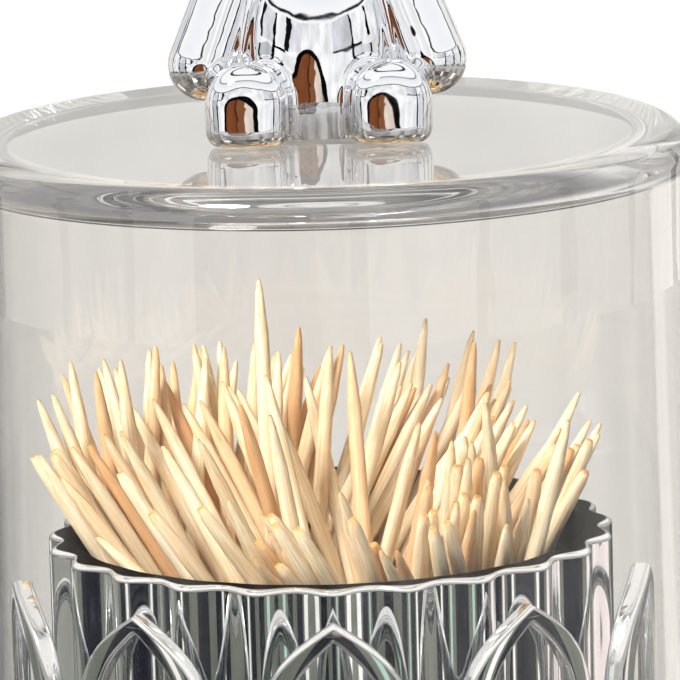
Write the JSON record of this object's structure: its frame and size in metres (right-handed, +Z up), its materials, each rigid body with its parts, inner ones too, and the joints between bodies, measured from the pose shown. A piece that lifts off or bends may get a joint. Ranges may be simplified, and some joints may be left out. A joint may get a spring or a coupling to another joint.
{
  "type": "toothpick holder",
  "caption": "Round toothpick holder: fluted chrome cup of picks on a plated base, under a clear lift-off acrylic cover with a seated bear figure as its knob.",
  "frame": {"origin": "middle of the foot pad's underside, where the holder stands on the table", "axes": "+Z up along the axis of cup and cover; -Y is the front, the way the bear faces; +X to the viewer's right"},
  "size_m": [0.092, 0.092, 0.1444],
  "materials": {
    "plated_base": "mirror-bright chrome plating",
    "foot_pad": "matt black foam pad",
    "plated_cup": "mirror-bright chrome plating",
    "plated_petal": "mirror-bright chrome plating",
    "plated_bear": "mirror-bright chrome plating",
    "pick_wood": "bare pale bamboo",
    "clear_acrylic": "clear polished acrylic",
    "adhesive": "clear double-sided adhesive"
  },
  "bodies": {
    "holder": {"base_tray": "plated_base", "foot_pad": "foot_pad", "fluted_cup": "plated_cup", "gallery_petal_1": "plated_petal", "gallery_petal_2": "plated_petal", "gallery_petal_3": "plated_petal", "gallery_petal_4": "plated_petal", "gallery_petal_5": "plated_petal", "toothpicks": "pick_wood"},
    "cover": {"cover": "clear_acrylic", "bear_front_shell": "plated_bear", "bear_rear_shell": "plated_bear", "bear_adhesive_disc": "adhesive"}
  },
  "joints": [
    {"name": "cover_lift", "type": "slide", "parent": "holder", "child": "cover", "axis": [0, 0, 1], "range_m": [0, 0.085]}
  ]
}
